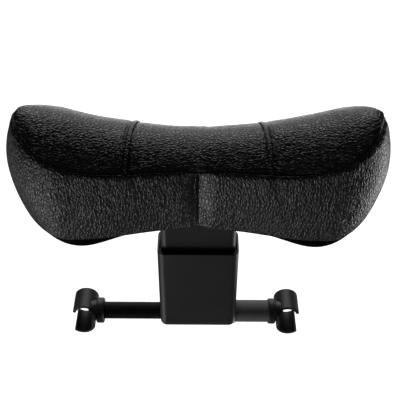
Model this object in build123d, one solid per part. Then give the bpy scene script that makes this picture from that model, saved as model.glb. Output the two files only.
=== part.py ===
from build123d import *
import math
import os

# Head and neck cushion that clips between the two rods of a seat's headrest.
# Millimetres. The origin lies on the crossbar's axis at the middle of the socket.
# +Z runs up the post to the cushion, +X along the crossbar, and the rods run along Y.

# ---- rods and hooks ----
ROD_R = 7.0
JAW_BORE_R = ROD_R + 0.35
JAW_WALL = 2.5
JAW_OUTER_R = JAW_BORE_R + JAW_WALL
FINGER_REACH = 16.0
TOP_FINGER_LAP = 4.5
UNDER_FINGER_LAP = 5.5
TOP_TIP_DEG = 12
UNDER_TIP_DEG = 42
FINGER_ROOT_DEG = 205
LEFT_JAW_X = -92.3
RIGHT_JAW_X = 72.8
COLLAR_R = 10.4
COLLAR_WIDTH = 6.0
NECK_R = 8.3
PIN_R = 1.5
PIN_HOLE_GAP = 0.05
SHANK_GAP = 0.05

# ---- telescoping crossbar ----
OUTER_TUBE_R = 9.0
OUTER_TUBE_BORE_R = 7.5
OUTER_TUBE_LEFT_X = -26.5
INNER_TUBE_R = 6.95
INNER_TUBE_BORE_R = 5.75
RUNNING_GAP = 0.05
GUIDE_BUSH_LENGTH = 10.0
STOP_FLANGE_R = 7.2
STOP_FLANGE_THICKNESS = 3.8
STOP_GAP = 0.1
SHANK_LENGTH = 18.0
SPRING_WIRE_R = 0.7
SPRING_MEAN_R = 5.6
SPRING_TURNS = 12

# ---- socket on the crossbar ----
SOCKET_HALF_WIDTH = 30.4
SOCKET_TOP_Z = 79.5
SOCKET_BOTTOM_R = 11.6
SOCKET_TOP_HALF_DEPTH = 13.4
SOCKET_EDGE_R = 5.4
RIM_R = 0.6
CAVITY_FLOOR_Z = 15.0
CAVITY_HALF_WIDTH = 28.5
CAVITY_FLOOR_HALF_DEPTH = 9.9
CAVITY_TOP_HALF_DEPTH = 11.4
CAVITY_CORNER_R = 4.6
HINGE_BORE_R = 10.2
HINGE_BORE_LEFT_X = -28.2
LEFT_ENTRY_R = 7.4
BUSH_INNER_R = OUTER_TUBE_R + RUNNING_GAP
BUSH_SPLIT = 2.0
BUSH_GAP_TO_RING = 0.4
RING_HALF_WIDTH = 4.6
RING_R = 9.8
SET_SCREW_X = 16.0
SET_SCREW_R = 2.0

# ---- post ----
POST_HALF_WIDTH = 27.75
POST_HALF_DEPTH = 9.0
POST_CORNER_R = 4.5
POST_WALL = 2.4
POST_BOTTOM_Z = 40.0
POST_RIB_X = 8.6
LINER_BOTTOM_Z = 62.0
LINER_TOP_Z = 73.5
CLIP_HEIGHT = 6.0
CLIP_HALF_DEPTH = 9.6
SHOE_HALF_WIDTH = 19.0
SHOE_BOTTOM_Z = 63.6
SHOE_TOP_Z = 71.8
SHOE_THICKNESS = 0.85
LEAF_THICKNESS = 0.3
FLANGE_HALF_WIDTH = 40.0
FLANGE_HALF_DEPTH = 12.0
FLANGE_THICKNESS = 2.4

# ---- cushion ----
CUSHION_HALF_LENGTH = 128.0
END_CUT_X = 126.5
WAIST_HALF_DEPTH = 24.9
WING_HALF_DEPTH = 33.0
WING_X = 80.0
SEAM_Z = 168.5
SEAM_END_RISE = 27.0
BASE_Z = 118.0
BASE_WING_DROP = 3.8
BASE_END_RISE = 25.0
BASE_END_START_X = 90.0
BASE_INSET = 1.5
BELLY = 1.8
CROWN_SHARE = 0.46
COVER = 1.2
SEAM_DROP = 0.8
PANEL_SEAM_X = 45.0
BOARD_THICKNESS = 3.0
BOARD_HALF_LENGTH = 110.0
STATION_XS = [0, 22, 44, 62, 80, 97, 111, 120, END_CUT_X]

# ---- back shell under the cushion ----
SHELL_HALF_LENGTH = 119.0
SHELL_WAIST_DROP = 6.6
SHELL_WING_DROP = 10.6
SHELL_SIDE_DRAW_SHARE = 0.2
SHELL_SIDE_DROP_SHARE = 0.6
SHELL_END_MARGIN = 3.5
SHELL_WAIST_INSET = 5.0
SHELL_WING_INSET = 1.2
SHELL_WAIST_DRAW = 5.0
SHELL_WING_DRAW = 3.2
SHELL_WALL = 2.2
SHELL_GAP = 0.5
SHELL_STATION_XS = [0, 28, 56, 80, 98, 112]
POST_HOLE_GAP = 0.1
POST_SCREW_XY = (34.0, 8.0)
WING_SCREW_XY = (72.0, 14.0)
END_SCREW_X = 98.0
SCREW_R = 1.8
SCREW_HEAD_R = 3.6
SCREW_HEAD_HEIGHT = 2.2
SCREW_HEAD_PROUD = 0.6
SCREW_WELL_DEPTH = 12.0
SCREW_TIP_MARGIN = 0.7
SCREW_HOLE_GAP = 0.2
BOSS_R = 5.4

FAR = 400.0


def tube_x(x0, x1, outer_r, inner_r=0.0):
    """A round bar or tube along X."""
    length = x1 - x0
    place = Plane.YZ.offset(x0)
    solid = extrude(place * Circle(outer_r), length)
    if inner_r > 0:
        solid -= extrude(place * Circle(inner_r), length)
    return solid


def pin_y(x, radius, half_length):
    """A round pin across the crossbar, along Y."""
    return Pos(x, 0, 0) * Rot(90, 0, 0) * Cylinder(radius, 2 * half_length)


def finger(side, y0, y1, tip_deg):
    """One finger of a right-hand jaw round the Y axis, from its tip back to the neck.
    side is +1 over the rod and -1 under it, and angles are counted from the open side."""
    arc_from, arc_to = tip_deg, FINGER_ROOT_DEG
    middle = (arc_from + arc_to) / 2

    def point(radius, deg):
        angle = math.radians(deg)
        return (radius * math.cos(angle), side * radius * math.sin(angle))

    edges = [
        ThreePointArc(point(JAW_OUTER_R, arc_from), point(JAW_OUTER_R, middle), point(JAW_OUTER_R, arc_to)),
        Line(point(JAW_OUTER_R, arc_to), point(JAW_BORE_R, arc_to)),
        ThreePointArc(point(JAW_BORE_R, arc_to), point(JAW_BORE_R, middle), point(JAW_BORE_R, arc_from)),
        Line(point(JAW_BORE_R, arc_from), point(JAW_OUTER_R, arc_from)),
    ]
    profile = make_face(Curve() + edges)
    return Pos(0, y1, 0) * extrude(Plane.XZ * profile, y1 - y0)


def hook(jaw_x, collar_x, shank_r, pin_r):
    """Twist hook: a finger over the rod behind, a finger under it in front, a short neck
    and the shank that plugs into the tube. collar_x is the collar's face towards the jaw."""
    outward = 1 if jaw_x > 0 else -1
    over = finger(1, -TOP_FINGER_LAP, FINGER_REACH, TOP_TIP_DEG)
    under = finger(-1, -FINGER_REACH, UNDER_FINGER_LAP, UNDER_TIP_DEG)
    fingers = over + under
    if outward < 0:
        fingers = mirror(fingers, Plane.YZ)
    fingers = Pos(jaw_x, 0, 0) * fingers
    neck_end = jaw_x - outward * JAW_BORE_R * 0.5
    neck = tube_x(min(collar_x, neck_end), max(collar_x, neck_end), NECK_R)
    shank_end = collar_x - outward * SHANK_LENGTH
    shank = tube_x(min(collar_x, shank_end), max(collar_x, shank_end), shank_r)
    rod_space = Pos(jaw_x, 0, 0) * Rot(90, 0, 0) * Cylinder(JAW_BORE_R, 4 * FINGER_REACH)
    solid = fingers + neck + shank - rod_space
    tips = solid.edges().filter_by(GeomType.CIRCLE).filter_by(
        lambda e: abs(abs(e.center().Y) - FINGER_REACH) < 0.01 and abs(e.radius - JAW_OUTER_R) < 0.01
    )
    solid = fillet(tips, 1.0)
    pin_x = collar_x - outward * COLLAR_WIDTH / 2
    return solid - pin_y(pin_x, pin_r + PIN_HOLE_GAP, 2 * COLLAR_R)


def collar(collar_x, outward, bore_r):
    """Rounded ring that covers the tube's end and the pin."""
    inner_face = collar_x - outward * COLLAR_WIDTH
    ring = tube_x(min(collar_x, inner_face), max(collar_x, inner_face), COLLAR_R, bore_r)
    rims = ring.edges().filter_by(GeomType.CIRCLE).filter_by(lambda e: abs(e.radius - COLLAR_R) < 0.01)
    return fillet(rims, 1.2)


def hook_pin(collar_x, outward, radius, tube_r):
    """Pin through the tube and the shank, hidden under the collar."""
    return pin_y(collar_x - outward * COLLAR_WIDTH / 2, radius, tube_r - 0.1)


def crossbar_parts():
    right_face = RIGHT_JAW_X - JAW_OUTER_R
    pin_x = right_face - COLLAR_WIDTH / 2
    outer_tube = tube_x(OUTER_TUBE_LEFT_X, right_face - 1, OUTER_TUBE_R, OUTER_TUBE_BORE_R)
    outer_tube -= pin_y(pin_x, PIN_R + PIN_HOLE_GAP, 2 * COLLAR_R)
    bush_right_x = OUTER_TUBE_LEFT_X + GUIDE_BUSH_LENGTH
    guide_bush = tube_x(
        OUTER_TUBE_LEFT_X, bush_right_x, OUTER_TUBE_BORE_R - 0.02, INNER_TUBE_R + RUNNING_GAP
    )
    return {
        "outer_tube": outer_tube,
        "right_hook": hook(RIGHT_JAW_X, right_face, OUTER_TUBE_BORE_R - SHANK_GAP, PIN_R),
        "right_collar": collar(right_face, 1, OUTER_TUBE_R + 0.05),
        "right_hook_pin": hook_pin(right_face, 1, PIN_R, OUTER_TUBE_R),
        "tube_guide_bush": guide_bush,
        "bar_stop_ring": tube_x(-RING_HALF_WIDTH, RING_HALF_WIDTH, RING_R, OUTER_TUBE_R + 0.02),
    }


def left_arm_parts():
    left_face = LEFT_JAW_X + JAW_OUTER_R
    pin_x = left_face + COLLAR_WIDTH / 2
    tube_end = OUTER_TUBE_LEFT_X + GUIDE_BUSH_LENGTH + STOP_GAP
    inner_tube = tube_x(left_face + 1, tube_end, INNER_TUBE_R, INNER_TUBE_BORE_R)
    inner_tube -= pin_y(pin_x, PIN_R + PIN_HOLE_GAP, 2 * COLLAR_R)
    plug = tube_x(tube_end - 10, tube_end, INNER_TUBE_BORE_R - SHANK_GAP)
    plug += tube_x(tube_end, tube_end + STOP_FLANGE_THICKNESS, STOP_FLANGE_R)
    nose_r = SPRING_MEAN_R - SPRING_WIRE_R - 0.5
    plug += tube_x(tube_end, tube_end + STOP_FLANGE_THICKNESS + 6, nose_r)
    return {
        "inner_tube": inner_tube,
        "left_hook": hook(LEFT_JAW_X, left_face, INNER_TUBE_BORE_R - SHANK_GAP, PIN_R),
        "left_collar": collar(left_face, -1, INNER_TUBE_R + 0.05),
        "left_hook_pin": hook_pin(left_face, -1, PIN_R, INNER_TUBE_R),
        "inner_tube_plug": plug,
    }


def bar_spring():
    """Compression spring that pushes the two hooks apart, between the plug and the right shank."""
    left_end = OUTER_TUBE_LEFT_X + GUIDE_BUSH_LENGTH + STOP_GAP + STOP_FLANGE_THICKNESS
    right_end = RIGHT_JAW_X - JAW_OUTER_R - SHANK_LENGTH
    height = right_end - left_end - 2 * SPRING_WIRE_R - 0.4
    path = Helix(height / SPRING_TURNS, height, SPRING_MEAN_R)
    wire = sweep(Plane(path @ 0, z_dir=path % 0) * Circle(SPRING_WIRE_R), path=path, is_frenet=True)
    return Pos(left_end + SPRING_WIRE_R + 0.2, 0, 0) * Rot(0, 90, 0) * wire


def socket_outside():
    """Sleeve blank: rounded concentric with the crossbar below, slightly deeper at the top."""
    top, low = SOCKET_TOP_HALF_DEPTH, SOCKET_BOTTOM_R
    edges = [
        Line((-low, 0), (-top, SOCKET_TOP_Z)),
        Line((-top, SOCKET_TOP_Z), (top, SOCKET_TOP_Z)),
        Line((top, SOCKET_TOP_Z), (low, 0)),
        ThreePointArc((low, 0), (0, -low), (-low, 0)),
    ]
    profile = Plane.YZ * make_face(Curve() + edges)
    blank = extrude(profile, SOCKET_HALF_WIDTH, both=True)
    end_edges = blank.edges().filter_by(
        lambda e: abs(abs(e.center().X) - SOCKET_HALF_WIDTH) < 0.01 and e.center().Z < SOCKET_TOP_Z - 1
    )
    return fillet(end_edges, SOCKET_EDGE_R)


def cavity(gap=0.0, z0=CAVITY_FLOOR_Z, z1=SOCKET_TOP_Z + 5):
    """The tapering space inside the socket, drawn in by gap, between two heights."""
    slope = (CAVITY_TOP_HALF_DEPTH - CAVITY_FLOOR_HALF_DEPTH) / (SOCKET_TOP_Z - CAVITY_FLOOR_Z)

    def half_depth(z):
        return CAVITY_FLOOR_HALF_DEPTH + slope * (z - CAVITY_FLOOR_Z) - gap

    corners = [(-half_depth(z0), z0), (-half_depth(z1), z1), (half_depth(z1), z1), (half_depth(z0), z0)]
    solid = extrude(Plane.YZ * make_face(Polyline(*corners, close=True)), CAVITY_HALF_WIDTH - gap, both=True)
    upright = solid.edges().filter_by(
        lambda e: abs(abs(e.center().X) - CAVITY_HALF_WIDTH + gap) < 0.01 and e.length > (z1 - z0) * 0.9
        and abs(e.center().Y) > 1
    )
    return fillet(upright, CAVITY_CORNER_R - gap)


def rounded_column(half_width, half_depth, corner_r, z0, z1):
    profile = RectangleRounded(2 * half_width, 2 * half_depth, corner_r)
    return extrude(Plane.XY.offset(z0) * profile, z1 - z0)


def socket_sleeve():
    solid = socket_outside()
    solid -= cavity()
    solid -= tube_x(HINGE_BORE_LEFT_X, SOCKET_HALF_WIDTH + 1, HINGE_BORE_R)
    solid -= tube_x(-SOCKET_HALF_WIDTH - 1, HINGE_BORE_LEFT_X + 1, LEFT_ENTRY_R)
    for x in (-SET_SCREW_X, SET_SCREW_X):
        solid -= Pos(x, 0, CAVITY_FLOOR_Z) * Cylinder(SET_SCREW_R + 0.05, 20)
    rim = solid.edges().filter_by(lambda e: abs(e.center().Z - SOCKET_TOP_Z) < 0.01)
    return fillet(rim, RIM_R)


def friction_bush(x0, x1):
    """Split nylon bush between the outer tube and the socket's bore."""
    bush = tube_x(x0, x1, HINGE_BORE_R - RUNNING_GAP, BUSH_INNER_R)
    return bush - Pos((x0 + x1) / 2, 0, -HINGE_BORE_R) * Box(2 * (x1 - x0), BUSH_SPLIT, HINGE_BORE_R)


def bush_set_screws():
    """Set screws in the cavity's floor that squeeze the bushes, reached through the socket's mouth."""
    low = HINGE_BORE_R + 0.1
    screws = []
    for x in (-SET_SCREW_X, SET_SCREW_X):
        body = extrude(Plane.XY.offset(low) * Circle(SET_SCREW_R), CAVITY_FLOOR_Z - 0.2 - low)
        hex_key = extrude(Plane.XY.offset(CAVITY_FLOOR_Z - 2.2) * RegularPolygon(1.1, 6), 4)
        screws.append(Pos(x, 0, 0) * (body - hex_key))
    return Compound(children=screws)


def guide_liner():
    """Nylon ring just below the rim that guides the post, with a window for the brake shoe."""
    ring = cavity(0.05, LINER_BOTTOM_Z, LINER_TOP_Z)
    ring -= rounded_column(
        POST_HALF_WIDTH + RUNNING_GAP,
        POST_HALF_DEPTH + RUNNING_GAP,
        POST_CORNER_R,
        LINER_BOTTOM_Z - 1,
        LINER_TOP_Z + 1,
    )
    window_height = SHOE_TOP_Z - SHOE_BOTTOM_Z + 0.4
    window_z = (SHOE_TOP_Z + SHOE_BOTTOM_Z) / 2
    return ring - Pos(0, POST_HALF_DEPTH + 5, window_z) * Box(2 * SHOE_HALF_WIDTH + 0.4, 10, window_height)


def brake_shoe():
    """Felt-faced shoe that presses on the back of the post and holds its height."""
    y0 = POST_HALF_DEPTH + RUNNING_GAP
    height = SHOE_TOP_Z - SHOE_BOTTOM_Z
    block = Box(2 * SHOE_HALF_WIDTH, SHOE_THICKNESS, height)
    return Pos(0, y0 + SHOE_THICKNESS / 2, (SHOE_TOP_Z + SHOE_BOTTOM_Z) / 2) * block


def brake_spring():
    """Bowed leaf spring between the shoe and the socket's back wall."""
    y_mid = POST_HALF_DEPTH + RUNNING_GAP + SHOE_THICKNESS + 0.02
    y_end = y_mid + 0.5
    half = SHOE_HALF_WIDTH - 1.5
    back_end, back_mid = y_end + LEAF_THICKNESS, y_mid + LEAF_THICKNESS
    edges = [
        ThreePointArc((-half, y_end), (0, y_mid), (half, y_end)),
        Line((half, y_end), (half, back_end)),
        ThreePointArc((half, back_end), (0, back_mid), (-half, back_end)),
        Line((-half, back_end), (-half, y_end)),
    ]
    strip = make_face(Curve() + edges)
    return extrude(Plane.XY.offset(SHOE_BOTTOM_Z + 1) * strip, SHOE_TOP_Z - SHOE_BOTTOM_Z - 2)


def socket_parts():
    ring_edge = RING_HALF_WIDTH + BUSH_GAP_TO_RING
    return {
        "socket_sleeve": socket_sleeve(),
        "left_friction_bush": friction_bush(HINGE_BORE_LEFT_X + 0.2, -ring_edge),
        "right_friction_bush": friction_bush(ring_edge, SOCKET_HALF_WIDTH - 0.4),
        "bush_set_screws": bush_set_screws(),
        "guide_liner": guide_liner(),
        "brake_shoe": brake_shoe(),
        "brake_spring": brake_spring(),
    }


def waist_to_wing(x):
    """0 at the cushion's middle, 1 from the widest part of the wings outwards."""
    return math.sin(math.pi / 2 * min(abs(x) / WING_X, 1)) ** 2


def half_depth_at(x):
    """Half of the cushion's depth along Y: a narrow waist, wider wings and elliptic ends."""
    depth = WAIST_HALF_DEPTH + (WING_HALF_DEPTH - WAIST_HALF_DEPTH) * waist_to_wing(x)
    along = max(abs(x) - WING_X, 0) / (CUSHION_HALF_LENGTH - WING_X)
    return depth * math.sqrt(1 - along**2)


def seam_z_at(x):
    """Height of the seam round the face, which rises towards both ends like a saddle."""
    return SEAM_Z + SEAM_END_RISE * (abs(x) / CUSHION_HALF_LENGTH) ** 3


def base_z_at(x):
    """Height of the cushion's underside, which dips a little under the wings and rises at the ends."""
    dip = BASE_WING_DROP * math.sin(math.pi * abs(x) / (2 * WING_X)) ** 3
    along = max(abs(x) - BASE_END_START_X, 0) / (CUSHION_HALF_LENGTH - BASE_END_START_X)
    return BASE_Z - dip + BASE_END_RISE * along**2


def stations():
    return [-x for x in reversed(STATION_XS[1:])] + list(STATION_XS)


def cushion_section(x, x_draw, skin):
    """Closed outline of the cushion at x, drawn in by skin and placed at x_draw.
    With a skin the outline reaches below the base, so that cutting with it leaves the base open."""
    half, seam, base = half_depth_at(x), seam_z_at(x), base_z_at(x)
    foot = half - BASE_INSET - skin
    low = base - skin
    side_mid = (base + seam) / 2
    crown = seam + CROWN_SHARE * half - skin
    edge = half - skin
    top = seam - skin / 2
    belly = half + BELLY - skin
    edges = [
        Line((-foot, low), (foot, low)),
        ThreePointArc((foot, low), (belly, side_mid), (edge, top)),
        ThreePointArc((edge, top), (0, crown), (-edge, top)),
        ThreePointArc((-edge, top), (-belly, side_mid), (-foot, low)),
    ]
    return Plane.YZ.offset(x_draw) * make_face(Curve() + edges)


def cushion_outside():
    return loft([cushion_section(x, x, 0) for x in stations()])


def cushion_inside():
    """The space within the cover, which stops one cover thickness short of the cushion's ends."""
    return loft([cushion_section(x, x * (END_CUT_X - COVER) / END_CUT_X, COVER) for x in stations()])


def above_line(height_at, rise):
    """Everything above a line that runs along the cushion at height_at(x) + rise, as one block."""
    points = [(x, height_at(x) + rise) for x in stations()]
    left, right = (-FAR, points[0][1]), (FAR, points[-1][1])
    edges = [
        Line(left, points[0]),
        Spline(*points),
        Line(points[-1], right),
        Polyline(right, (FAR, FAR), (-FAR, FAR), left),
    ]
    return extrude(Plane.XZ * make_face(Curve() + edges), FAR, both=True)


def half_space(x0=-FAR, x1=FAR, y0=-FAR, y1=FAR):
    return Pos((x0 + x1) / 2, (y0 + y1) / 2, 0) * Box(x1 - x0, y1 - y0, 2 * FAR)


def cover_parts(outside, inside):
    """Leather cover, sewn from three face panels and four side bands."""
    above_seam = above_line(seam_z_at, -SEAM_DROP)
    upper, lower = outside & above_seam, outside - above_seam
    panel_spaces = {
        "face_panel_left": half_space(x1=-PANEL_SEAM_X),
        "face_panel_centre": half_space(x0=-PANEL_SEAM_X, x1=PANEL_SEAM_X),
        "face_panel_right": half_space(x0=PANEL_SEAM_X),
    }
    band_spaces = {
        "front_band_left": half_space(x1=0, y1=0),
        "front_band_right": half_space(x0=0, y1=0),
        "back_band_left": half_space(x1=0, y0=0),
        "back_band_right": half_space(x0=0, y0=0),
    }
    parts = {name: (upper & space) - inside for name, space in panel_spaces.items()}
    parts.update({name: (lower & space) - inside for name, space in band_spaces.items()})
    return parts


def shell_wing_share(x):
    """0 over the middle of the shell, rising late and steeply to 1 at the wings."""
    return waist_to_wing(x) ** 6


def shell_floor_z_at(x):
    """Underside of the back shell, deeper under the wings than at the waist."""
    drop = SHELL_WAIST_DROP + (SHELL_WING_DROP - SHELL_WAIST_DROP) * shell_wing_share(x)
    return base_z_at(x) - drop


def shell_section(x, skin):
    """Tray outline at x: wide at the rim, a steep side and a floor drawn in from it."""
    wing = shell_wing_share(x)
    outline_x = x * CUSHION_HALF_LENGTH / (SHELL_HALF_LENGTH + SHELL_END_MARGIN)
    rim_half = half_depth_at(outline_x) - SHELL_WAIST_INSET + (SHELL_WAIST_INSET - SHELL_WING_INSET) * wing
    draw = SHELL_WAIST_DRAW + (SHELL_WING_DRAW - SHELL_WAIST_DRAW) * wing
    floor_half = rim_half - draw
    rim_z = base_z_at(x) - SHELL_GAP + (1 if skin else 0)
    floor_z = shell_floor_z_at(x) + skin
    side_half = rim_half - SHELL_SIDE_DRAW_SHARE * draw - skin
    side = (side_half, rim_z - SHELL_SIDE_DROP_SHARE * (rim_z - floor_z))
    edges = [
        Line((-floor_half + skin, floor_z), (floor_half - skin, floor_z)),
        ThreePointArc((floor_half - skin, floor_z), side, (rim_half - skin, rim_z)),
        Line((rim_half - skin, rim_z), (-rim_half + skin, rim_z)),
        ThreePointArc((-rim_half + skin, rim_z), (-side[0], side[1]), (-floor_half + skin, floor_z)),
    ]
    return make_face(Curve() + edges)


def shell_block(skin):
    """The tray's outside, or the space inside it when skin is its wall."""
    right = SHELL_STATION_XS[1:] + [SHELL_HALF_LENGTH - skin]
    xs = [-x for x in reversed(right)] + [0] + right
    return loft([Plane.YZ.offset(x) * shell_section(x, skin) for x in xs])


def flange_z():
    """Underside of the post's flange, on the back shell's floor at the waist."""
    return shell_floor_z_at(0) + SHELL_WALL + 0.1


def screw_places():
    """Every shell screw as (x, y): four at the post's flange, two at each wing and one at each end."""
    places = []
    for side in (-1, 1):
        for front in (-1, 1):
            places.append((side * POST_SCREW_XY[0], front * POST_SCREW_XY[1]))
            places.append((side * WING_SCREW_XY[0], front * WING_SCREW_XY[1]))
        places.append((side * END_SCREW_X, 0))
    return places


def is_post_screw(place):
    return abs(place[0]) == POST_SCREW_XY[0]


def screw_seat_z_at(x):
    """Height at which a shell screw's head stops, in a well sunk into the shell's floor."""
    return shell_floor_z_at(x) + SCREW_HEAD_HEIGHT - SCREW_HEAD_PROUD


def back_shell():
    """Hard tray under the cushion, with a bored boss for each screw and a hole for the post."""
    tray = shell_block(0)
    hollow = shell_block(SHELL_WALL)
    solid = tray - hollow
    for x, y in screw_places():
        boss_top = flange_z() if is_post_screw((x, y)) else FAR
        boss = extrude(Plane.XY.offset(-FAR) * (Pos(x, y) * Circle(BOSS_R)), FAR + boss_top)
        solid += boss & hollow & tray
    for x, y in screw_places():
        head_seat = screw_seat_z_at(x)
        well = Pos(x, y) * Circle(SCREW_HEAD_R + SCREW_HOLE_GAP)
        solid -= extrude(Plane.XY.offset(head_seat - SCREW_WELL_DEPTH) * well, SCREW_WELL_DEPTH)
        solid -= Pos(x, y, 0) * Cylinder(SCREW_R + SCREW_HOLE_GAP, 2 * FAR)
    gap = POST_HOLE_GAP
    solid -= rounded_column(
        POST_HALF_WIDTH + gap, POST_HALF_DEPTH + gap, POST_CORNER_R + gap, BASE_Z - 30, BASE_Z + 10
    )
    return solid


def shell_screw(x, y):
    seat = screw_seat_z_at(x)
    head = extrude(Plane.XY.offset(seat - SCREW_HEAD_HEIGHT) * Circle(SCREW_HEAD_R), SCREW_HEAD_HEIGHT - 0.05)
    top_edge = head.edges().filter_by(GeomType.CIRCLE).sort_by(Axis.Z)[0]
    head = fillet(top_edge, 0.9)
    shank_bottom = seat - 1.0
    shank_top = base_z_at(x) + BOARD_THICKNESS - SCREW_TIP_MARGIN
    shank = extrude(Plane.XY.offset(shank_bottom) * Circle(SCREW_R), shank_top - shank_bottom)
    cross = Box(4.0, 0.9, 2.4) + Box(0.9, 4.0, 2.4)
    return Pos(x, y, 0) * (head + shank - Pos(0, 0, seat - SCREW_HEAD_HEIGHT) * cross)


def screws(places):
    return Compound(children=[shell_screw(x, y) for x, y in places])


def post():
    """Hollow rectangular post with two ribs and a flange that sits on the back shell's floor."""
    low = flange_z()
    top = low + FLANGE_THICKNESS
    solid = rounded_column(POST_HALF_WIDTH, POST_HALF_DEPTH, POST_CORNER_R, POST_BOTTOM_Z, top)
    inner_depth = POST_HALF_DEPTH - POST_WALL
    cell_edges = [-POST_HALF_WIDTH + POST_WALL, -POST_RIB_X, POST_RIB_X, POST_HALF_WIDTH - POST_WALL]
    for x0, x1 in zip(cell_edges[:-1], cell_edges[1:]):
        middle, half = (x0 + x1) / 2, (x1 - x0) / 2 - 1.0
        solid -= Pos(middle, 0, 0) * rounded_column(half, inner_depth, 1.5, POST_BOTTOM_Z - 1, low - 1)
    flange = rounded_column(FLANGE_HALF_WIDTH, FLANGE_HALF_DEPTH, 4, low, top)
    for x, y in screw_places():
        if is_post_screw((x, y)):
            flange -= Pos(x, y, low) * Cylinder(SCREW_R + SCREW_HOLE_GAP, 20)
    return solid + flange


def post_stop_clip():
    """Ring pressed round the post's foot, which meets the liner when the post is fully raised."""
    top = POST_BOTTOM_Z + CLIP_HEIGHT
    ring = rounded_column(POST_HALF_WIDTH + 0.3, CLIP_HALF_DEPTH, POST_CORNER_R, POST_BOTTOM_Z - 0.8, top)
    return ring - rounded_column(
        POST_HALF_WIDTH + 0.02, POST_HALF_DEPTH + 0.02, POST_CORNER_R, POST_BOTTOM_Z - 0.02, top + 1
    )


def cushion_parts():
    outside, inside = cushion_outside(), cushion_inside()
    filling = outside & inside
    above_board = above_line(base_z_at, BOARD_THICKNESS)
    board = (filling - above_board) & half_space(-BOARD_HALF_LENGTH, BOARD_HALF_LENGTH)
    foam = filling - board
    places = screw_places()
    for x, y in places:
        board -= Pos(x, y, base_z_at(x)) * Cylinder(SCREW_R + 0.05, 20)
    parts = {
        "post": post(),
        "post_stop_clip": post_stop_clip(),
        "back_shell": back_shell(),
        "post_screws": screws([p for p in places if is_post_screw(p)]),
        "shell_screws": screws([p for p in places if not is_post_screw(p)]),
        "inner_board": board,
        "foam_core": foam,
    }
    parts.update(cover_parts(outside, inside))
    return parts


def main():
    os.makedirs("parts", exist_ok=True)
    parts = {}
    parts.update(crossbar_parts())
    parts.update(left_arm_parts())
    parts["bar_spring"] = bar_spring()
    parts.update(socket_parts())
    parts.update(cushion_parts())
    for name, shape in parts.items():
        export_step(shape, f"parts/{name}.step")


main()
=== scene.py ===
"""Looks of a leather neck cushion on its post and crossbar, in metres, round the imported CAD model."""

import math

import bmesh
import bpy
import numpy as np
from mathutils import Matrix, Vector, kdtree, noise


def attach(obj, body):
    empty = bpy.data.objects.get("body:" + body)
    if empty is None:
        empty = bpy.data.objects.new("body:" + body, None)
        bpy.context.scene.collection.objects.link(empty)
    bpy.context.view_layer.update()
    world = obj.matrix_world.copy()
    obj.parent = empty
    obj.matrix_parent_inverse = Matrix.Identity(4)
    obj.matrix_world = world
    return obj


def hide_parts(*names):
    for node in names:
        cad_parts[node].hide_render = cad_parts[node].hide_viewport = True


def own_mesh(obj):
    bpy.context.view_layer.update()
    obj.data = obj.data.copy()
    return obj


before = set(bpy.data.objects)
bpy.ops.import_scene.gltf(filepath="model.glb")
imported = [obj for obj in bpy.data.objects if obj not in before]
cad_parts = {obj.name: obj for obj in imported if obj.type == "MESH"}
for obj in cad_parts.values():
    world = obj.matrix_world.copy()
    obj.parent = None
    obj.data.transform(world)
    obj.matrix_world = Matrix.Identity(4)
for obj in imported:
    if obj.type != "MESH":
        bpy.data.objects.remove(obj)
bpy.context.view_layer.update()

MM = 0.001
UP = np.array((0.0, 0.0, 1.0))

# ---- the cushion's outline; its base and heights are those of the CAD solids ----
HALF_LENGTH = 121 * MM
OUTLINE_POWER = 1.85
WAIST_HALF_DEPTH = 24.9 * MM
WING_EXTRA_DEPTH = 7.4 * MM
WING_X = 88 * MM
SEAM_Z = 168.5 * MM
SEAM_END_RISE = 26.2 * MM
BASE_Z = 118 * MM
BASE_WING_DROP = 3.8 * MM
BASE_DIP_SPAN = 160 * MM
BASE_END_RISE = 25 * MM
BASE_END_START_X = 90 * MM
BASE_END_SPAN = 38 * MM
FOOT_INSET = 0.8 * MM
FOOT_END_FLARE = 3.0 * MM
BELLY = 1.8 * MM
END_BELLY = 4.6 * MM
FLARE_START_X = 80 * MM
CROWN_SHARE = 0.44
WING_CROWN_SHARE = 0.09
PANEL_SEAM_X = 45 * MM

# ---- leather ----
LEATHER = 1.1 * MM
SEAM_DEPTH = 1.15 * MM
SEAM_WIDTH = 3.2 * MM
SEAM_GAP = 0.22 * MM
STRIP_HALF_WIDTH = 1.15 * MM
STRIP_GAP = 0.25 * MM
STRIP_ARCH = 0.35 * MM
STRIP_LIFT = 0.05 * MM
BAND_GAP = 0.12 * MM
CHANNEL_DEPTH = 0.9 * MM
CHANNEL_WIDTH = 4.5 * MM
SEAM_LEAN = 2.3 * MM
VALLEY_DEPTH = 4.8 * MM
VALLEY_HALF_WIDTH = 13 * MM
# the folds: their height along the seam, beside the joints and at the tips, in millimetres
PUCKER_BASE = 0.25
PUCKER_AT_JOINTS = 0.75
PUCKER_AT_TIPS = 0.60
PUCKER_PITCH = 4.2 * MM
PUCKER_REACH = 4.0 * MM
PUCKER_STRETCH = 0.22
JOINT_SPREAD = 9 * MM
VALLEY_SPREAD = 10 * MM
TIP_START_X = 100 * MM
TIP_BLEND = 18 * MM
# the loose leather: each wave's length and height in millimetres, and its seed
FACE_SLACK = ((26, 0.45, 3), (11, 0.12, 5))
BAND_SLACK = ((30, 0.6, 8), (12, 0.15, 9))
SLACK_FADE = 8 * MM
LEAN_SPREAD = 18 * MM
CHANNEL_FADE = 2 * MM
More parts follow.
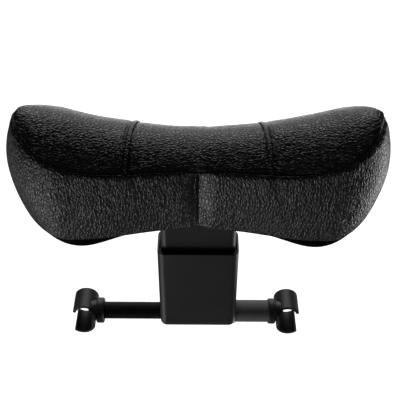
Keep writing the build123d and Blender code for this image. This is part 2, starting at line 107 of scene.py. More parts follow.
# the band's valley is weaker at its foot and on the far side
FOOT_FADE = 22 * MM
FOOT_SHARE = 0.35
VALLEY_POWER = 1.6
BACK_VALLEY_SHARE = 0.6
VALLEY_FADE = 3 * MM
END_SEAM_DEPTH = 1.1 * MM
END_SEAM_WIDTH = 5 * MM
HEM_BLEND_START = 0.02
HEM_BLEND = 0.06
STITCH_OFFSET = 3.1 * MM
RIDGE_HEIGHT = 0.9 * MM
RIDGE_OFFSET = 1.5 * MM
RIDGE_WIDTH = 0.8 * MM
HEM_DROP = 0.3 * MM
HEM_TURN = 2.6 * MM
FOAM_INSET = 3.4 * MM


def smoothstep(value):
    """0 to 1 with flat ends."""
    value = np.clip(value, 0, 1)
    return value * value * (3 - 2 * value)


def unit(vectors):
    """The same directions with length 1."""
    return vectors / np.linalg.norm(vectors, axis=-1, keepdims=True)


def waist_depth(x):
    """Half depth that grows from the waist to the wings, and its slope."""
    near = np.minimum(np.abs(x) / WING_X, 1)
    depth = WAIST_HALF_DEPTH + WING_EXTRA_DEPTH * np.sin(math.pi / 2 * near) ** 2
    slope = WING_EXTRA_DEPTH * math.pi / (2 * WING_X) * np.sin(math.pi * near) * np.sign(x)
    return depth, slope


def end_round(x):
    """Share of the depth left where the outline rounds off towards its ends, and its slope."""
    along = np.clip((np.abs(x) - WING_X) / (HALF_LENGTH - WING_X), 0, 1)
    left = np.maximum(1 - along ** OUTLINE_POWER, 1e-7)
    slope = -(along ** (OUTLINE_POWER - 1)) * left ** (1 / OUTLINE_POWER - 1) / (HALF_LENGTH - WING_X)
    return left ** (1 / OUTLINE_POWER), slope * np.sign(x)


def half_depth(x):
    """Half depth of the outline at x, and its slope."""
    depth, slope = waist_depth(x)
    share, share_slope = end_round(x)
    return depth * share, slope * share + depth * share_slope


def seam_height(x):
    """Height of the seam round the face."""
    return SEAM_Z + SEAM_END_RISE * (np.abs(x) / HALF_LENGTH) ** 4


def base_height(x):
    """Height of the cushion's lower edge."""
    drop = BASE_WING_DROP * np.sin(math.pi * np.abs(x) / BASE_DIP_SPAN) ** 3
    end = np.maximum(np.abs(x) - BASE_END_START_X, 0) / BASE_END_SPAN
    return BASE_Z - drop + BASE_END_RISE * end ** 2


def end_share(x):
    """0 over most of the length, rising to 1 at the ends, where the sides flare."""
    return smoothstep((np.abs(x) - FLARE_START_X) / (HALF_LENGTH - FLARE_START_X))


def crown_share(x):
    """How high the face is crowned, as a share of the half depth."""
    return CROWN_SHARE + WING_CROWN_SHARE * np.sin(math.pi / 2 * np.minimum(np.abs(x) / WING_X, 1)) ** 2


def outline_point(u, v):
    """Plan position of the grid point (u, v), both -1 to 1: straight columns, and a fan at each end."""
    w = smoothstep((np.abs(u) - 0.4) / 0.6)
    across = u * np.sqrt(1 - w * v * v / 2)
    forward = v * np.sqrt(np.maximum(1 - u * u * (1 - w / 2), 0))
    x = HALF_LENGTH * across
    y = forward * half_depth(x)[0] / np.sqrt(np.maximum(1 - across ** 2, 1e-7))
    return x, y


def plain_face(u, v):
    """Points and normals of the crowned face before any seam is pulled in."""
    x, y = outline_point(u, v)
    half, slope = half_depth(x)
    share = np.clip(y / np.maximum(half, 1e-6), -1, 1)
    crown = crown_share(x)
    z = seam_height(x) + crown * half * (1 - share ** 2)
    rise = 4 * SEAM_END_RISE * (np.abs(x) / HALF_LENGTH) ** 3 / HALF_LENGTH * np.sign(x)
    slope_x = rise + crown * slope * (1 + share ** 2)
    slope_y = -2 * crown * share
    normals = unit(np.stack([-slope_x, -slope_y, np.ones_like(x)], -1))
    return np.stack([x, y, z], -1), normals


def outward(x, side):
    """Level direction out of the outline at x, on the side of the sign given."""
    slope = half_depth(x)[1]
    return unit(np.stack([-slope, side, np.zeros_like(x)], -1))


def plain_band(u, v, t):
    """Points and normals of the side band below outline point (u, v). t is 0 at its foot, 1 at the seam."""
    x, y = outline_point(u, v)
    out = outward(x, np.sign(y))
    low, high = base_height(x), seam_height(x)
    end = end_share(x)
    belly = 4 * (BELLY + END_BELLY * end)
    foot = FOOT_END_FLARE * end - FOOT_INSET
    offset = belly * t * (1 - t) + foot * (1 - t) ** 2
    slope = belly * (1 - 2 * t) - 2 * foot * (1 - t)
    points = np.stack([x, y, low + (high - low) * t], -1) + out * offset[..., None]
    normals = unit(out - UP * (slope / (high - low))[..., None])
    return points, normals


def seam_loop(count):
    """The seam round the face as (u, v) pairs, anticlockwise from the middle of the front."""
    side = np.linspace(-1, 1, count)
    u = np.concatenate([side, np.ones(count), -side, -np.ones(count)])
    v = np.concatenate([-np.ones(count), side, np.ones(count), -side])
    return u, v


LOOP_U, LOOP_V = seam_loop(1500)
LOOP_POINTS = plain_face(LOOP_U, LOOP_V)[0]
LOOP_LENGTH = np.concatenate([[0], np.cumsum(np.linalg.norm(np.diff(LOOP_POINTS, axis=0), axis=1))])
SEAM_TREE = kdtree.KDTree(len(LOOP_POINTS))
for index, point in enumerate(LOOP_POINTS):
    SEAM_TREE.insert(point, index)
SEAM_TREE.balance()


def seam_distance(points):
    """Distance of each point to the seam round the face, and how far round the seam its nearest place is."""
    found = [SEAM_TREE.find(p) for p in points.reshape(-1, 3)]
    distance = np.array([f[2] for f in found]).reshape(points.shape[:-1])
    place = np.array([LOOP_LENGTH[f[1]] for f in found]).reshape(points.shape[:-1])
    return distance, place


def wave(points, size, seed):
    """Smooth noise between about -1 and 1, with bumps of the size given."""
    shift = Vector((seed * 7.3, seed * 3.1, seed * 5.7))
    flat = [noise.noise(Vector(p) / size + shift) for p in points.reshape(-1, 3)]
    return np.array(flat).reshape(points.shape[:-1])


def pull(distance, depth, width):
    """How far a seam pulls the leather in at a distance from it."""
    return depth * (1 - np.minimum(distance / width, 1)) ** 2


def away_from_seam(normals, out, distance, reach):
    """The normals, turned to point out and up beside the seam, and how near the seam each point is."""
    near = (1 - np.minimum(distance / reach, 1))[..., None]
    return unit(normals * (1 - near) + unit(out + UP) * near), near


def panel_seam_x(y):
    """Where the right-hand panel seam crosses y: it leans in towards the back."""
    return PANEL_SEAM_X - SEAM_LEAN * y / WAIST_HALF_DEPTH


def slack(points, waves):
    """Height of the loose leather. Each wave has a length, a height and a seed."""
    return sum(wave(points, length * MM, seed) * height * MM for length, height, seed in waves)


def puckers(points, distance, place, seed):
    """Small folds that run away from the seam, strongest beside the joints of the panels."""
    x = points[..., 0]
    joint = np.exp(-((np.abs(x) - PANEL_SEAM_X) / JOINT_SPREAD) ** 2)
    joint = joint + np.exp(-(x / VALLEY_SPREAD) ** 2)
    tip = smoothstep((np.abs(x) - TIP_START_X) / TIP_BLEND)
    strength = (PUCKER_BASE + PUCKER_AT_JOINTS * joint + PUCKER_AT_TIPS * tip) * MM
    along = np.stack([place, np.zeros_like(place), distance * PUCKER_STRETCH], -1)
    fade = distance / PUCKER_REACH * np.exp(1 - distance / PUCKER_REACH)
    return strength * fade * wave(along, PUCKER_PITCH, seed)


def face_surface(u, v):
    """Points and normals of the finished face."""
    points, normals = plain_face(u, v)
    distance, place = seam_distance(points)
    x, y = points[..., 0], points[..., 1]
    lean = -np.sign(x) * SEAM_LEAN * y / WAIST_HALF_DEPTH
    points[..., 0] += lean * np.exp(-((np.abs(x) - PANEL_SEAM_X) / LEAN_SPREAD) ** 2)
    channel = np.abs(np.abs(points[..., 0]) - panel_seam_x(y)) - STRIP_HALF_WIDTH
    out = outward(x, np.sign(y))
    way = away_from_seam(normals, out, distance, SEAM_WIDTH)[0]
    depth = pull(distance, SEAM_DEPTH, SEAM_WIDTH)
    channel_depth = pull(np.maximum(channel, 0), CHANNEL_DEPTH, CHANNEL_WIDTH)
    depth += channel_depth * np.minimum(distance / CHANNEL_FADE, 1)
    loose = slack(points, FACE_SLACK)
    loose *= smoothstep(distance / SLACK_FADE)
    height = loose + puckers(points, distance, place, 11) - depth
    points = points + way * height[..., None]
    points[..., 2] += SEAM_GAP * np.exp(-distance / MM)
    return points, normals


def band_surface(u, v, t):
    """Points and normals of the finished side band. Below t = 0 the leather turns in under the board."""
    t = np.asarray(t, float)
    points, normals = plain_band(u, v, np.clip(t, 0, 1))
    distance, place = seam_distance(points)
    x, y = points[..., 0], points[..., 1]
    out = outward(outline_point(u, v)[0], np.sign(v))
    way = away_from_seam(normals, out, distance, SEAM_WIDTH)[0]
    front = (y < 0)
    foot = (1 - smoothstep((points[..., 2] - base_height(x)) / FOOT_FADE)) * FOOT_SHARE
    valley = VALLEY_DEPTH * (1 - np.minimum(np.abs(x) / VALLEY_HALF_WIDTH, 1)) ** VALLEY_POWER * (1 - foot)
    ridge = RIDGE_HEIGHT * np.exp(-((x + RIDGE_OFFSET) / RIDGE_WIDTH) ** 2)
    valley_share = np.minimum(distance / VALLEY_FADE, 1) * np.where(front, 1, BACK_VALLEY_SHARE)
    depth = pull(distance, SEAM_DEPTH, SEAM_WIDTH) + (valley - ridge) * valley_share
    from_end_seam = np.abs(y) + np.where(np.abs(x) > TIP_START_X, 0, 1)
    depth += pull(from_end_seam, END_SEAM_DEPTH, END_SEAM_WIDTH) * np.minimum(distance / VALLEY_FADE, 1)
    loose = slack(points, BAND_SLACK)
    above_foot = points[..., 2] - base_height(x)
    loose *= smoothstep(distance / SLACK_FADE) * smoothstep(above_foot / SLACK_FADE)
    height = loose + puckers(points, distance, place, 23) - depth
    points = points + way * height[..., None]
    points = points + out * (-SEAM_GAP * np.exp(-distance / MM))[..., None]
    points = points + out * (HEM_TURN * np.minimum(t, 0))[..., None]
    points[..., 2] -= HEM_DROP * (1 - smoothstep((t + HEM_BLEND_START) / HEM_BLEND))
    return points, normals


def clustered(start, end, count, low_end=True, high_end=True):
    """Values from start to end, closer together at the ends asked for."""
    s = np.linspace(0, 1, count + 1)
    if low_end and high_end:
        s = (1 - np.cos(math.pi * s)) / 2 * 0.7 + s * 0.3
    elif low_end:
        s = s ** 1.6 * 0.7 + s * 0.3
    elif high_end:
        s = 1 - ((1 - s) ** 1.6 * 0.7 + (1 - s) * 0.3)
    return start + (end - start) * s


def joined(*runs):
    """Runs of values in a row, with each shared end kept once."""
    return np.concatenate([runs[0]] + [run[1:] for run in runs[1:]])


def link(name, mesh):
    """A new object with that mesh, in the scene."""
    piece = bpy.data.objects.new(name, mesh)
    bpy.context.scene.collection.objects.link(piece)
    return piece


def grid_faces(rows, columns, start=0):
    """Quads of a grid of points stored row by row."""
    return [
        (start + r * columns + c, start + r * columns + c + 1,
         start + (r + 1) * columns + c + 1, start + (r + 1) * columns + c)
        for r in range(rows - 1)
        for c in range(columns - 1)
    ]


def grid_mesh(name, points):
    """A mesh of quads from an array of rows of points, with points that coincide joined."""
    rows, columns = points.shape[:2]
    mesh = bpy.data.meshes.new(name)
    mesh.from_pydata(points.reshape(-1, 3).tolist(), [], grid_faces(rows, columns))
    work = bmesh.new()
    work.from_mesh(mesh)
    bmesh.ops.remove_doubles(work, verts=work.verts, dist=1e-6)
    work.to_mesh(mesh)
    work.free()
    mesh.polygons.foreach_set("use_smooth", [True] * len(mesh.polygons))
    return mesh


def leather_piece(name, points, material):
    """One panel of leather: thick, with rounded edges, riding on the cushion."""
    piece = link(name, grid_mesh(name, points))
    thick = piece.modifiers.new("thickness", "SOLIDIFY")
    thick.thickness = LEATHER
    thick.offset = -1
    thick.use_even_offset = True
    smooth = piece.modifiers.new("smooth", "SUBSURF")
    smooth.levels = smooth.render_levels = 1
    piece.data.materials.append(material)
    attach(piece, "cushion")
    return piece


# ---- materials ----
def start_material(name):
    """A material with only its output and a Principled shader."""
    material = bpy.data.materials.new(name)
    material.use_nodes = True
    tree = material.node_tree
    tree.nodes.clear()
    shader = tree.nodes.new("ShaderNodeBsdfPrincipled")
    output = tree.nodes.new("ShaderNodeOutputMaterial")
    tree.links.new(shader.outputs["BSDF"], output.inputs["Surface"])
    return material, tree, shader


def node(tree, kind, links=None, **settings):
    """A shader node. Links and settings are by input name or number; other settings are the node's own."""
    made = tree.nodes.new("ShaderNode" + kind)
    for name, value in settings.items():
        setattr(made, name, value)
    for name, value in (links or {}).items():
        socket = made.inputs[name]
        if isinstance(value, bpy.types.NodeSocket):
            tree.links.new(value, socket)
        else:
            socket.default_value = value
    return made


def place_of(tree, stretch=(1, 1, 1)):
    """Object coordinates in metres, scaled by stretch."""
    where = node(tree, "TexCoord").outputs["Object"]
    return node(tree, "Mapping", {"Vector": where, "Scale": stretch}).outputs["Vector"]


def noise_value(tree, where, size, detail=2.0, roughness=0.5):
    """Noise between 0 and 1 with features of the size given, in metres."""
    links = {"Vector": where, "Scale": 1 / size, "Detail": detail, "Roughness": roughness}
    return node(tree, "TexNoise", links).outputs["Fac"]


def spread(tree, value, low, high, out_low, out_high):
    """The value moved from one range to another and held there."""
    links = {"Value": value, "From Min": low, "From Max": high, "To Min": out_low, "To Max": out_high}
    return node(tree, "MapRange", links).outputs["Result"]


def maths(tree, operation, first, second):
    """One sum of two values."""
    return node(tree, "Math", {0: first, 1: second}, operation=operation).outputs[0]


def two_colours(tree, factor, first, second):
    """A mix of two colours."""
    mix = node(tree, "Mix", {0: factor, 6: (*first, 1), 7: (*second, 1)}, data_type="RGBA")
    return mix.outputs[2]


def finish_surface(tree, shader, height, distance, strength=1.0, edge=0.0):
    """Bump from a height, over an edge that is softened by the radius given."""
    links = {"Height": height, "Distance": distance, "Strength": strength}
    if edge:
        links["Normal"] = node(tree, "Bevel", {"Radius": edge}, samples=6).outputs["Normal"]
    bump = node(tree, "Bump", links)
    tree.links.new(bump.outputs["Normal"], shader.inputs["Normal"])


def leather_material(name, stretch, pebble, depth):
    """Black pebble-grain leather: domed pebbles parted by creases, with fine wrinkles, painted shade in the
    creases and painted sheen on the pebble tops.
    """
    material, tree, shader = start_material(name)
    where = place_of(tree, stretch)
    bend = node(tree, "TexNoise", {"Vector": where, "Scale": 0.4 / pebble, "Detail": 2.0})
    bent = node(tree, "VectorMath", {0: bend.outputs["Color"], 1: (0.5, 0.5, 0.5)}, operation="SUBTRACT")
    bent = node(tree, "VectorMath", {0: bent.outputs[0], "Scale": pebble * 1.6}, operation="SCALE")
    bent = node(tree, "VectorMath", {0: where, 1: bent.outputs[0]}, operation="ADD").outputs[0]
    links = {"Vector": bent, "Scale": 1 / pebble, "Randomness": 0.95}
    edge = node(tree, "TexVoronoi", links, feature="DISTANCE_TO_EDGE").outputs["Distance"]
    dome = node(tree, "TexVoronoi", links, feature="F1").outputs["Distance"]
    crease = node(tree, "MapRange", {"Value": edge, "From Max": 0.24}, interpolation_type="SMOOTHSTEP")
    crease = crease.outputs["Result"]
    height = maths(tree, "MULTIPLY", crease, 0.55)
    height = maths(tree, "ADD", height, spread(tree, dome, 0.0, 0.8, 0.45, 0.0))
    fine = noise_value(tree, where, pebble * 0.2, 3)
    height = maths(tree, "ADD", height, maths(tree, "MULTIPLY", fine, 0.04))
    broad = noise_value(tree, where, 14 * MM, 3)
    height = maths(tree, "ADD", height, maths(tree, "MULTIPLY", broad, 0.5))
    # painted shade and sheen: the colour is darker in the creases and lighter on the pebble tops, with a
    # broad random tone
    crease_shade_and_top_sheen = maths(tree, "MULTIPLY", crease, spread(tree, broad, 0.3, 0.7, 0.75, 1.0))
    colour = two_colours(tree, crease_shade_and_top_sheen, (0.0015, 0.0015, 0.0016), (0.0035, 0.0035, 0.0038))
    tree.links.new(colour, shader.inputs["Base Color"])
    rough = spread(tree, maths(tree, "MULTIPLY", crease, broad), 0.0, 0.65, 0.46, 0.26)
    tree.links.new(rough, shader.inputs["Roughness"])
    shader.inputs["Specular IOR Level"].default_value = 0.5
    finish_surface(tree, shader, height, depth, 1.0)
    return material


def plastic_material(name, colour, roughness, texture=0.35, depth=0.02, edge=0.35, light=1.6, shine=0.5):
    """Moulded plastic: fine spark texture, slow random change of the colour, a lighter colour on sharp edges,
    and softened edges.
    """
    material, tree, shader = start_material(name)
    where = place_of(tree)
    fine = noise_value(tree, where, texture * MM, 3, 0.6)
    slow = noise_value(tree, where, 18 * MM, 2)
    both = maths(tree, "ADD", maths(tree, "MULTIPLY", fine, 0.4), maths(tree, "MULTIPLY", slow, 0.6))
    dark = tuple(c * 0.82 for c in colour)
    pale = tuple(c * 1.18 for c in colour)
    base = two_colours(tree, spread(tree, both, 0.3, 0.7, 0.0, 1.0), dark, pale)
    # the colour is made lighter on sharp convex edges
    point = node(tree, "NewGeometry").outputs["Pointiness"]
    sharp_edge_lightening = spread(tree, point, 0.53, 0.62, 0.0, 0.6)
    mix = node(tree, "Mix", {0: sharp_edge_lightening, 6: base, 7: (*[c * light for c in colour], 1)}, data_type="RGBA")
    tree.links.new(mix.outputs[2], shader.inputs["Base Color"])
    rough = spread(tree, both, 0.3, 0.7, roughness - 0.05, roughness + 0.05)
    tree.links.new(rough, shader.inputs["Roughness"])
    shader.inputs["Specular IOR Level"].default_value = shine
    finish_surface(tree, shader, fine, depth * MM, 0.7, edge * MM)
    return material


def paint_material(name, colour, roughness, shine, peel):
    """Paint on steel, with an orange-peel skin."""
    material, tree, shader = start_material(name)
    where = place_of(tree)
    skin = noise_value(tree, where, peel * MM, 2)
    slow = noise_value(tree, where, 12 * MM, 3)
    base = two_colours(tree, slow, tuple(c * 0.8 for c in colour), tuple(c * 1.25 for c in colour))
    tree.links.new(base, shader.inputs["Base Color"])
    rough = spread(tree, slow, 0.3, 0.7, roughness - 0.04, roughness + 0.06)
    tree.links.new(rough, shader.inputs["Roughness"])
    shader.inputs["Specular IOR Level"].default_value = shine
    finish_surface(tree, shader, skin, 0.02 * MM, 0.6, 0.3 * MM)
    return material


def metal_material(name, colour, roughness, stretch):
    """Bare or plated metal with drawn lines along one direction."""
    material, tree, shader = start_material(name)
    lines = noise_value(tree, place_of(tree, stretch), 0.5 * MM, 4, 0.7)
    base = two_colours(tree, lines, tuple(c * 0.75 for c in colour), colour)
    tree.links.new(base, shader.inputs["Base Color"])
    rough = spread(tree, lines, 0.3, 0.7, roughness - 0.08, roughness + 0.1)
    tree.links.new(rough, shader.inputs["Roughness"])
    shader.inputs["Metallic"].default_value = 1.0
    finish_surface(tree, shader, lines, 0.01 * MM, 0.5, 0.15 * MM)
    return material


def foam_material():
    """Open-cell polyurethane foam, with painted shade in its pores."""
    material, tree, shader = start_material("foam_pores")
    where = place_of(tree)
    cells = node(tree, "TexVoronoi", {"Vector": where, "Scale": 1 / (0.8 * MM)}).outputs["Distance"]
    slow = noise_value(tree, where, 20 * MM, 3)
    # painted shade: the colour is darker in the pits of the cells
    base = two_colours(tree, spread(tree, cells, 0.0, 0.7, 0.0, 1.0), (0.42, 0.38, 0.27), (0.76, 0.72, 0.60))
    mix = node(tree, "Mix", {0: slow, 6: base, 7: (0.70, 0.64, 0.48, 1)}, data_type="RGBA")
    tree.links.new(mix.outputs[2], shader.inputs["Base Color"])
    shader.inputs["Roughness"].default_value = 0.95
    finish_surface(tree, shader, cells, 0.25 * MM, 1.0)
    return material


def felt_material():
    """Pressed felt: matted fibres."""
    material, tree, shader = start_material("pressed_felt")
    fibres = noise_value(tree, place_of(tree, (1, 1, 3)), 0.3 * MM, 5, 0.8)
    base = two_colours(tree, fibres, (0.05, 0.05, 0.05), (0.16, 0.16, 0.155))
    tree.links.new(base, shader.inputs["Base Color"])
    shader.inputs["Roughness"].default_value = 0.95
    shader.inputs["Sheen Weight"].default_value = 0.4
    finish_surface(tree, shader, fibres, 0.15 * MM, 1.0)
    return material


def thread_material():
    """Bonded black sewing thread."""
    material, tree, shader = start_material("black_thread")
    twist = noise_value(tree, place_of(tree), 0.15 * MM, 3)
    base = two_colours(tree, twist, (0.008, 0.008, 0.009), (0.035, 0.035, 0.037))
    tree.links.new(base, shader.inputs["Base Color"])
    shader.inputs["Roughness"].default_value = 0.45
    finish_surface(tree, shader, twist, 0.05 * MM, 1.0)
    return material


FACE_LEATHER = leather_material("leather_face", (0.75, 1, 1), 1.9 * MM, 0.33 * MM)
BAND_LEATHER = leather_material("leather_band", (1, 1, 0.50), 1.9 * MM, 0.36 * MM)
THREAD = thread_material()

NODE_MATERIALS = {
    "body": plastic_material("body_plastic", (0.022, 0.022, 0.0225), 0.45, shine=0.3),
    "hook": plastic_material("hook_plastic", (0.035, 0.035, 0.036), 0.45, 0.5, 0.03, shine=0.3),
    "shell": plastic_material("shell_plastic", (0.0015, 0.0015, 0.0016), 0.6, 0.6, 0.05, shine=0.02),
    "board": plastic_material("board_plastic", (0.05, 0.05, 0.05), 0.6),
    "nylon": plastic_material("natural_nylon", (0.72, 0.71, 0.67), 0.4, light=1.1),
    "outer_tube": paint_material("powder_coat", (0.200, 0.200, 0.203), 0.60, 0.03, 0.45),
    "inner_tube": paint_material("gloss_enamel", (0.022, 0.022, 0.023), 0.36, 0.03, 0.9),
    "steel": metal_material("bright_zinc", (0.55, 0.55, 0.56), 0.32, (0.1, 1, 1)),
    "screw": metal_material("black_oxide", (0.05, 0.05, 0.052), 0.42, (1, 1, 0.2)),
    "felt": felt_material(),
}

NODE_FINISH = {
    "socket_sleeve": "body", "post": "body", "post_stop_clip": "body",
    "right_hook": "hook", "left_hook": "hook", "right_collar": "hook", "left_collar": "hook",
    "back_shell": "shell", "inner_board": "board",
    "outer_tube": "outer_tube", "inner_tube": "inner_tube",
    "right_hook_pin": "steel", "left_hook_pin": "steel", "bar_spring": "steel", "brake_spring": "steel",
    "bar_stop_ring": "steel", "post_screws": "screw", "shell_screws": "screw", "bush_set_screws": "screw",
    "tube_guide_bush": "nylon", "inner_tube_plug": "nylon", "left_friction_bush": "nylon",
    "right_friction_bush": "nylon", "guide_liner": "nylon", "brake_shoe": "felt",
}

for name, finish in NODE_FINISH.items():
    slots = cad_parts[name].material_slots
    for slot in slots:
        slot.link = "OBJECT"
        slot.material = NODE_MATERIALS[finish]


def compression_spring():
    """The bar's spring: a copy of the CAD solid in the steel finish, carried with the crossbar."""
    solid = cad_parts["bar_spring"]
    piece = link("compression_spring", solid.data.copy())
    piece.matrix_world = solid.matrix_world.copy()
    piece.data.materials.clear()
    piece.data.materials.append(NODE_MATERIALS["steel"])
    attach(piece, "crossbar")
    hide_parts("bar_spring")
    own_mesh(piece)


compression_spring()

# ---- leather panels ----
SEAM_U = PANEL_SEAM_X / HALF_LENGTH
PANEL_EDGE = (STRIP_HALF_WIDTH + STRIP_GAP) / HALF_LENGTH
END_COLUMNS = clustered(SEAM_U, 1, 54)
SIDE_ROWS = joined(clustered(-1, 0, 24, high_end=False), clustered(0, 1, 24, low_end=False))
MIDDLE_COLUMNS = joined(clustered(-SEAM_U, 0, 30), clustered(0, SEAM_U, 30))


def face_panel(name, columns, node_name):
    """One panel of the face over the columns given, from the front seam to the back seam."""
    u, v = np.meshgrid(columns, SIDE_ROWS)
    piece = leather_piece(name, face_surface(u, v)[0], FACE_LEATHER)
    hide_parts(node_name)
    return piece


def shifted(columns, start, amount):
    """Columns moved at one end by an amount that fades away along them."""
    fade = np.exp(-np.abs(columns - start) / 0.02)
    return columns + amount * fade


face_panel("leather_face_right", shifted(END_COLUMNS, SEAM_U, PANEL_EDGE), "face_panel_right")
face_panel("leather_face_left", shifted(-END_COLUMNS[::-1], -SEAM_U, -PANEL_EDGE), "face_panel_left")
middle = shifted(shifted(MIDDLE_COLUMNS, SEAM_U, -PANEL_EDGE), -SEAM_U, PANEL_EDGE)
face_panel("leather_face_centre", middle, "face_panel_centre")

HEM_ROWS = np.array([-1.0, -0.6, -0.25, 0.0])
FOOT_ROWS = np.array([0.0, 0.03, 0.07])
BAND_ROWS = joined(HEM_ROWS, FOOT_ROWS, clustered(FOOT_ROWS[-1], 1, 30, low_end=False))


def band_path(side_x, side_y):
    """The outline as (u, v) pairs for one quarter band, from the end to the middle of the long side."""
    end_v = clustered(0, 1, 24, True, False)
    long_u = joined(clustered(1, SEAM_U, 54), clustered(SEAM_U, 0, 34))
    u = np.concatenate([np.ones(len(end_v)), long_u[1:]]) * side_x
    v = np.concatenate([end_v, np.ones(len(long_u) - 1)]) * side_y
    return u, v


def band_panel(name, side_x, side_y, node_name):
    """One quarter of the band round the cushion's sides."""
    u, v = band_path(side_x, side_y)
    rows = np.repeat(BAND_ROWS[:, None], len(u), 1)
    columns_u, columns_v = np.repeat(u[None], len(rows), 0), np.repeat(v[None], len(rows), 0)
    points = band_surface(columns_u, columns_v, rows)[0]
    points[:, 0, 1] += side_y * BAND_GAP
    points[:, -1, 0] += side_x * BAND_GAP
    if side_x * side_y > 0:
        points = points[:, ::-1]
    piece = leather_piece(name, points, BAND_LEATHER)
    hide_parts(node_name)
    return piece


band_panel("leather_band_front_left", -1, -1, "front_band_left")
band_panel("leather_band_front_right", 1, -1, "front_band_right")
band_panel("leather_band_back_left", -1, 1, "back_band_left")
band_panel("leather_band_back_right", 1, 1, "back_band_right")


# ---- felled strips over the face's two panel seams ----
def felled_strip(name, side):
    """A narrow raised strip of leather along one panel seam."""
    v = clustered(-1, 1, 60)
    across = np.linspace(-1, 1, 9)
    vv, aa = np.meshgrid(v, across)
    middle_points, normals = face_surface(np.full_like(vv, side * SEAM_U), vv)
    x = middle_points[..., 0] + aa * STRIP_HALF_WIDTH
    points = np.stack([x, middle_points[..., 1], middle_points[..., 2]], -1)
    arch = (1 - aa ** 2) * STRIP_ARCH + STRIP_LIFT
    points = points + normals * arch[..., None]
    return leather_piece(name, points, FACE_LEATHER)


felled_strip("seam_strip_right", 1)
felled_strip("seam_strip_left", -1)


# ---- thread ----
def stitch_shape(work, centre, direction, length, radius):
    """Adds one stitch: a thin closed capsule along the direction."""
    segments, rings = 6, (0.0, 0.18, 0.5, 0.82, 1.0)
    side = direction.orthogonal().normalized()
    other = direction.cross(side)
    loops = []
    for share in rings[1:-1]:
        swell = radius * math.sqrt(max(1 - (2 * share - 1) ** 2, 0.35))
        middle_point = centre + direction * length * (share - 0.5)
        loop = []
        for k in range(segments):
            turn = 2 * math.pi * k / segments
            spoke = side * math.cos(turn) + other * math.sin(turn)
            loop.append(work.verts.new(middle_point + spoke * swell))
        loops.append(loop)
    for low, high in zip(loops, loops[1:]):
        for k in range(segments):
            work.faces.new((low[k], low[(k + 1) % segments], high[(k + 1) % segments], high[k]))
    for loop, end in ((loops[0], -0.5), (loops[-1], 0.5)):
        tip = work.verts.new(centre + direction * length * end)
        for k in range(segments):
            pair = (loop[k], loop[(k + 1) % segments])
            work.faces.new((*pair, tip) if end > 0 else (pair[1], pair[0], tip))


def stitch_row(name, points, normals, pitch, length, radius, sink):
    """A row of stitches along a line of surface points."""
    steps = np.linalg.norm(np.diff(points, axis=0), axis=1)
    travelled = np.concatenate([[0], np.cumsum(steps)])
    work = bmesh.new()
    count = int(travelled[-1] / pitch)
    for k in range(count):
        at = (k + 0.5) * travelled[-1] / count
        ends = [np.array([np.interp(at + d, travelled, points[:, i]) for i in range(3)])
                for d in (-length / 2, length / 2)]
        normal = np.array([np.interp(at, travelled, normals[:, i]) for i in range(3)])
        centre = Vector((ends[0] + ends[1]) / 2 - unit(normal) * sink)
        stitch_shape(work, centre, Vector(ends[1] - ends[0]).normalized(), length, radius)
    mesh = bpy.data.meshes.new(name)
    work.to_mesh(mesh)
    work.free()
    mesh.polygons.foreach_set("use_smooth", [True] * len(mesh.polygons))
    piece = link(name, mesh)
    mesh.materials.append(THREAD)
    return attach(piece, "cushion")


STITCH = {"pitch": 2.6 * MM, "length": 1.9 * MM, "radius": 0.2 * MM, "sink": 0.02 * MM}
STITCH_BELOW_SEAM = 3.2 * MM


def band_stitches(name, side_x, side_y):
    """The top stitching under the seam on one quarter of the band."""
    u, v = band_path(side_x, side_y)
    x = outline_point(u, v)[0]
    t = 1 - STITCH_BELOW_SEAM / (seam_height(x) - base_height(x))
    points, normals = band_surface(u, v, t)
    stitch_row(name, points[2:-2], normals[2:-2], **STITCH)


def panel_stitches(name, side, offset):
    """Top stitching beside one panel seam of the face."""
    v = np.linspace(-0.97, 0.97, 80)
    u = np.full_like(v, side * SEAM_U + offset / HALF_LENGTH)
    points, normals = face_surface(u, v)
    stitch_row(name, points, normals, **STITCH)


for ends, side_x in (("left", -1), ("right", 1)):
    for long, side_y in (("front", -1), ("back", 1)):
        band_stitches("thread_" + long + "_" + ends, side_x, side_y)
    panel_stitches("thread_panel_" + ends, side_x, side_x * STITCH_OFFSET)


# ---- foam ----
# the side's two middle rows, as shares of its height, and the gap left under the foam for the board
FOAM_SIDE_SHARES = (0.3, 0.65)
FOAM_FLOOR_GAP = 3.4 * MM
# beside the seam the foam stands back by this much more, as a share of its inset
FOAM_EDGE_EXTRA = 0.4
FOAM_EDGE_REACH = 6 * MM


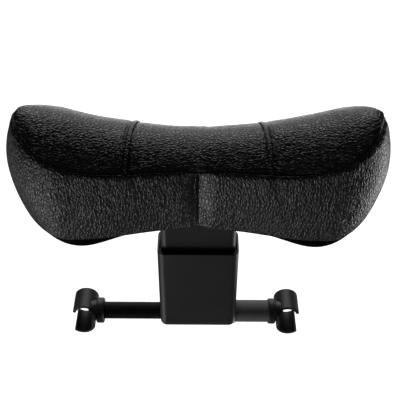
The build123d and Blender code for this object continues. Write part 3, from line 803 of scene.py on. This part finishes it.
def foam_pad():
    """The moulded foam inside the cover: a crowned closed form a little smaller than it."""
    columns, rows = joined(clustered(-1, 0, 40), clustered(0, 1, 40)), SIDE_ROWS
    u, v = np.meshgrid(columns, rows)
    top, normals = plain_face(u, v)
    distance = seam_distance(top)[0]
    out = outward(top[..., 0], np.sign(top[..., 1]))
    way, near = away_from_seam(normals, out, distance, FOAM_EDGE_REACH)
    top = top - way * (FOAM_INSET * (1 + FOAM_EDGE_EXTRA * near))
    floor = top.copy()
    floor[..., 2] = base_height(top[..., 0]) + FOAM_FLOOR_GAP
    border = np.concatenate([
        np.stack([np.zeros(len(columns) - 1, int), np.arange(len(columns) - 1)], 1),
        np.stack([np.arange(len(rows) - 1), np.full(len(rows) - 1, len(columns) - 1)], 1),
        np.stack([np.full(len(columns) - 1, len(rows) - 1), np.arange(len(columns) - 1, 0, -1)], 1),
        np.stack([np.arange(len(rows) - 1, 0, -1), np.zeros(len(rows) - 1, int)], 1),
    ])
    size = len(rows) * len(columns)
    points = [*top.reshape(-1, 3).tolist(), *floor.reshape(-1, 3).tolist()]
    faces = grid_faces(len(rows), len(columns))
    faces += [tuple(reversed(f)) for f in grid_faces(len(rows), len(columns), size)]
    ring = border[:, 0] * len(columns) + border[:, 1]
    loops = [ring + size]
    for share in FOAM_SIDE_SHARES:
        start = len(points)
        for low, high in zip(ring + size, ring):
            a, b = np.array(points[low]), np.array(points[high])
            points.append((a + (b - a) * share).tolist())
        loops.append(np.arange(start, start + len(ring)))
    loops.append(ring)
    for low, high in zip(loops, loops[1:]):
        for k in range(len(ring)):
            n = (k + 1) % len(ring)
            faces.append((int(low[k]), int(low[n]), int(high[n]), int(high[k])))
    mesh = bpy.data.meshes.new("foam_pad")
    mesh.from_pydata(points, [], faces)
    work = bmesh.new()
    work.from_mesh(mesh)
    bmesh.ops.remove_doubles(work, verts=work.verts, dist=1e-6)
    bmesh.ops.recalc_face_normals(work, faces=work.faces)
    work.to_mesh(mesh)
    work.free()
    mesh.polygons.foreach_set("use_smooth", [True] * len(mesh.polygons))
    piece = link("foam_pad", mesh)
    mesh.materials.append(foam_material())
    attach(piece, "cushion")
    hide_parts("foam_core")


foam_pad()


# ---- floor, light and camera ----
def floor_material():
    """Plain matt white that glows, so that it stays pale behind the object."""
    material, tree, shader = start_material("pale_floor")
    slow = noise_value(tree, place_of(tree), 0.4, 2)
    base = two_colours(tree, slow, (0.80, 0.80, 0.80), (0.84, 0.84, 0.84))
    tree.links.new(base, shader.inputs["Base Color"])
    shader.inputs["Roughness"].default_value = 0.9
    shader.inputs["Emission Color"].default_value = (1, 1, 1, 1)
    shader.inputs["Emission Strength"].default_value = 1.0
    return material


FLOOR_Z = -0.25
FLOOR_HALF_SIZE = 40.0


def make_floor():
    """A wide floor well below the object, which doesn't light or mirror in the object."""
    size = FLOOR_HALF_SIZE
    mesh = bpy.data.meshes.new("floor")
    corners = [(-size, -size, 0), (size, -size, 0), (size, size, 0), (-size, size, 0)]
    mesh.from_pydata(corners, [], [(0, 1, 2, 3)])
    floor = link("floor", mesh)
    floor.location = (0, 0, FLOOR_Z)
    floor.visible_diffuse = False
    floor.visible_glossy = False
    floor.visible_shadow = False
    mesh.materials.append(floor_material())


def aim(thing, place, target, roll=0.0):
    """Puts a lamp or camera at a place, turned towards a target."""
    way = (Vector(target) - Vector(place)).normalized()
    turn = way.to_track_quat("-Z", "Y").to_matrix().to_4x4()
    thing.matrix_world = Matrix.Translation(Vector(place)) @ turn @ Matrix.Rotation(roll, 4, "Z")


def softbox(name, place, target, width, height, radiance):
    """A soft rectangular lamp of that brightness."""
    lamp = bpy.data.lights.new(name, "AREA")
    lamp.shape = "RECTANGLE"
    lamp.size, lamp.size_y = width, height
    lamp.energy = radiance * math.pi * width * height
    aim(link(name, lamp), place, target)


# direction, brightness and angular radius in degrees of each soft lamp of the studio
STUDIO_LAMPS = (
    ((0.0, 1.0, -0.45), 1.8, 32),
    ((0.0, 0.78, 0.63), 2.8, 26),
    ((-0.60, -0.52, -0.61), 3.6, 22),
    ((0.0, -0.60, -0.80), 0.10, 55),
    ((0.85, 0.20, -0.50), 4.0, 24),
    ((-0.85, 0.25, -0.45), 0.5, 20),
)
STUDIO_BASE = 0.03


def make_studio():
    """The room: dark, with a round soft lamp in each of the directions above."""
    world = bpy.data.worlds.new("studio")
    world.use_nodes = True
    tree = world.node_tree
    way = node(tree, "TexCoord").outputs["Generated"]
    total = STUDIO_BASE
    for direction, brightness, radius in STUDIO_LAMPS:
        aimed = tuple(Vector(direction).normalized())
        facing = node(tree, "VectorMath", {0: way, 1: aimed}, operation="DOT_PRODUCT").outputs["Value"]
        low, high = math.cos(math.radians(radius)), math.cos(math.radians(radius * 0.6))
        total = maths(tree, "ADD", total, spread(tree, facing, low, high, 0.0, brightness))
    tree.links.new(total, tree.nodes["Background"].inputs["Strength"])
    tree.nodes["Background"].inputs["Color"].default_value = (1, 1, 1, 1)
    bpy.context.scene.world = world


def make_light():
    """A long softbox high behind, in the soft room."""
    make_studio()
    softbox("softbox_back", (0.0, 1.0, 0.95), (0, 0, 0.12), 1.4, 0.28, 1.0)


def make_camera():
    """A camera in front of the object and above it, as far away as a product shot is taken."""
    elevation = math.radians(42)
    distance = 0.631
    target = Vector((0.0012, 0.0606, 0.0673))
    back = Vector((0, -math.cos(elevation), math.sin(elevation)))
    camera = bpy.data.cameras.new("camera")
    camera.sensor_width = 36
    camera.lens = 69.3
    made = link("camera", camera)
    aim(made, target + back * distance, target, math.radians(0.33))
    bpy.context.scene.camera = made


make_floor()
make_light()
make_camera()
bpy.context.scene.view_settings.view_transform = "Standard"
